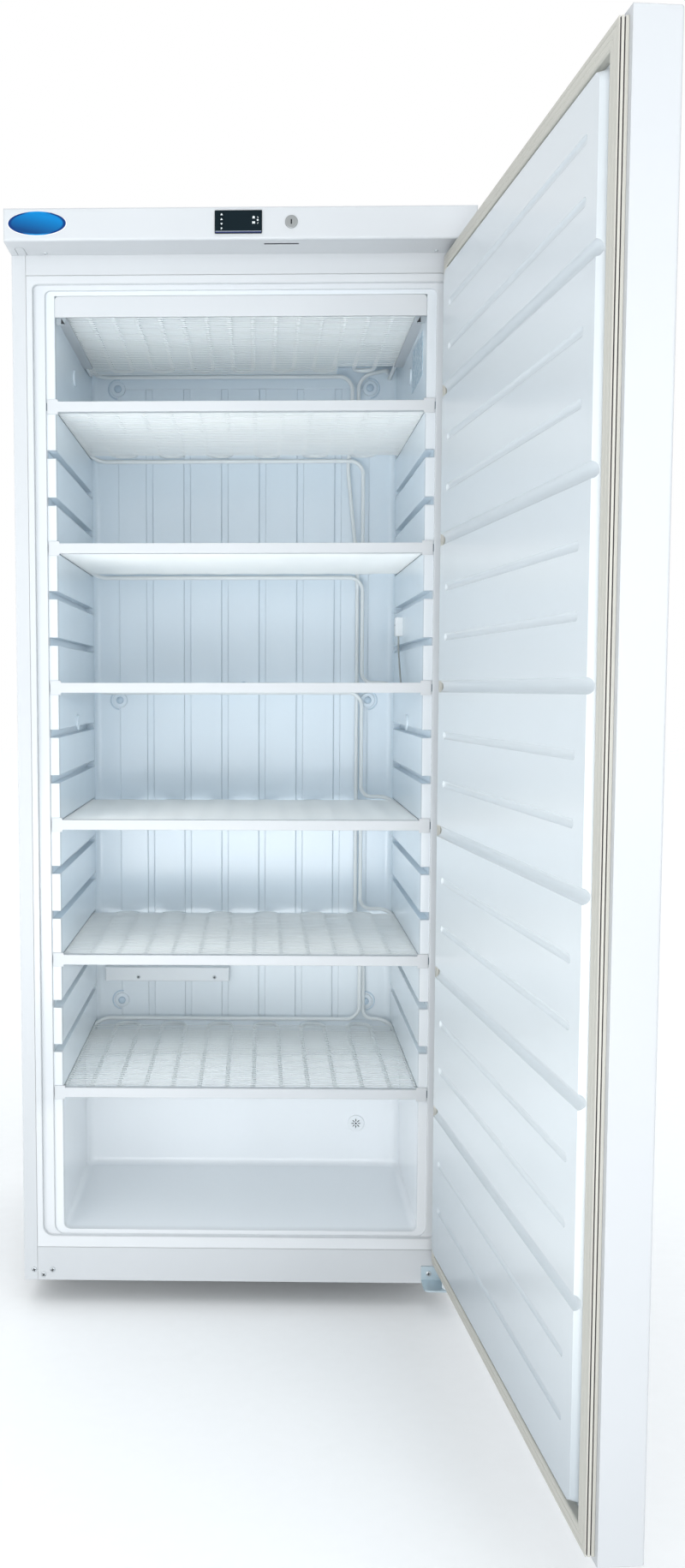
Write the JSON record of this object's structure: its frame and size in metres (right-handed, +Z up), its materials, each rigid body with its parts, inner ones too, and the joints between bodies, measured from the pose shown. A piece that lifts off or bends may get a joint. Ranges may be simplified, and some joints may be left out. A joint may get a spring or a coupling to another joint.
{
  "type": "upright freezer",
  "caption": "Tall white upright freezer with fixed evaporator shelves, a control canopy with display and lock, and one right-hinged door standing open.",
  "frame": {"origin": "on the floor, under the middle of the cabinet's front frame", "axes": "+Z up, +Y from the front to the back of the cabinet, +X to the right as seen from the front; the door is hinged at the right"},
  "size_m": [0.8754, 1.4113, 1.895],
  "materials": {
    "white_paint": "satin",
    "liner_plastic": "satin",
    "foam": "matte",
    "panel_plastic": "satin",
    "zinc_sheet": "satin",
    "badge_blue": "gloss",
    "case_plastic": "matte",
    "window_dark": "gloss",
    "lock_metal": "satin",
    "screw_steel": "satin",
    "fitting_plastic": "matte",
    "zinc_steel": "satin",
    "rack_coating": "satin",
    "strip_plastic": "satin",
    "lead_grey": "matte",
    "plate_paper": "matte",
    "gasket_rubber": "matte",
    "cup_plastic": "matte",
    "compressor_black": "satin",
    "mount_rubber": "matte",
    "copper": "satin",
    "inlet_black": "matte",
    "condenser_black": "satin",
    "key_plastic": "matte",
    "foot_plastic": "matte"
  },
  "bodies": {
    "cabinet": {"back_sheet": "zinc_sheet", "badge_oval": "badge_blue", "base_pan": "zinc_sheet", "blank_plate": "plate_paper", "canopy": "white_paint", "ceiling_rails": "strip_plastic", "ceiling_strip": "strip_plastic", "compressor": "compressor_black", "compressor_mounts": "mount_rubber", "condenser": "condenser_black", "controller_case": "case_plastic", "controller_window": "window_dark", "evaporator_tube": "rack_coating", "filter_drier": "copper", "front_rail_bottom": "white_paint", "front_rail_top": "white_paint", "hinge_bracket_bottom": "zinc_steel", "hinge_bracket_top": "zinc_steel", "hinge_slot_cover": "fitting_plastic", "hinge_spacer": "fitting_plastic", "insulation": "foam", "liner": "liner_plastic", "lock_barrel": "lock_metal", "outer_shell": "white_paint", "power_inlet": "inlet_black", "rack_wires_1": "rack_coating", "rack_wires_2": "rack_coating", "rack_wires_3": "rack_coating", "rack_wires_4": "rack_coating", "rack_wires_5": "rack_coating", "rack_wires_6": "rack_coating", "rack_wires_top": "rack_coating", "screws": "screw_steel", "sensor_clip": "fitting_plastic", "sensor_lead": "lead_grey", "shelf_strip_1": "strip_plastic", "shelf_strip_2": "strip_plastic", "shelf_strip_3": "strip_plastic", "shelf_strip_4": "strip_plastic", "shelf_strip_5": "strip_plastic", "shelf_strip_6": "strip_plastic", "tube_cover": "fitting_plastic", "vent_grommet": "fitting_plastic"},
    "door": {"door_skin": "white_paint", "door_foam": "foam", "door_panel": "panel_plastic", "door_gasket": "gasket_rubber", "door_bushes": "fitting_plastic", "strike_box": "fitting_plastic", "pull_cup": "cup_plastic"},
    "lock": {"lock_plug": "lock_metal"},
    "key_1": {"controller_key_1": "key_plastic"},
    "key_2": {"controller_key_2": "key_plastic"},
    "key_3": {"controller_key_3": "key_plastic"},
    "key_4": {"controller_key_4": "key_plastic"},
    "foot_front_left": {"foot_front_left": "foot_plastic"},
    "foot_front_right": {"foot_front_right": "foot_plastic"},
    "foot_back_left": {"foot_back_left": "foot_plastic"},
    "foot_back_right": {"foot_back_right": "foot_plastic"}
  },
  "joints": [
    {"name": "door_hinge", "type": "hinge", "parent": "cabinet", "child": "door", "pos_m": [0.369, -0.031, 0.96], "axis": [0, 0, 1], "range_deg": [-96, 18]},
    {"name": "lock_turn", "type": "hinge", "parent": "cabinet", "child": "lock", "pos_m": [0.0844, -0.06, 1.8695], "axis": [0, -1, 0], "range_deg": [0, 90]},
    {"name": "key_1_press", "type": "slide", "parent": "cabinet", "child": "key_1", "axis": [0, 1, 0], "range_m": [0, 0.0005], "stiffness_N_per_m": 1000, "springref_m": -0.0003},
    {"name": "key_2_press", "type": "slide", "parent": "cabinet", "child": "key_2", "axis": [0, 1, 0], "range_m": [0, 0.0005], "stiffness_N_per_m": 1000, "springref_m": -0.0003},
    {"name": "key_3_press", "type": "slide", "parent": "cabinet", "child": "key_3", "axis": [0, 1, 0], "range_m": [0, 0.0005], "stiffness_N_per_m": 1000, "springref_m": -0.0003},
    {"name": "key_4_press", "type": "slide", "parent": "cabinet", "child": "key_4", "axis": [0, 1, 0], "range_m": [0, 0.0005], "stiffness_N_per_m": 1000, "springref_m": -0.0003},
    {"name": "foot_front_left_turn", "type": "hinge", "parent": "cabinet", "child": "foot_front_left", "pos_m": [-0.33, 0.122, 0.03], "axis": [0, 0, 1], "continuous": true},
    {"name": "foot_front_right_turn", "type": "hinge", "parent": "cabinet", "child": "foot_front_right", "pos_m": [0.33, 0.122, 0.03], "axis": [0, 0, 1], "continuous": true},
    {"name": "foot_back_left_turn", "type": "hinge", "parent": "cabinet", "child": "foot_back_left", "pos_m": [-0.33, 0.545, 0.03], "axis": [0, 0, 1], "continuous": true},
    {"name": "foot_back_right_turn", "type": "hinge", "parent": "cabinet", "child": "foot_back_right", "pos_m": [0.33, 0.545, 0.03], "axis": [0, 0, 1], "continuous": true}
  ]
}
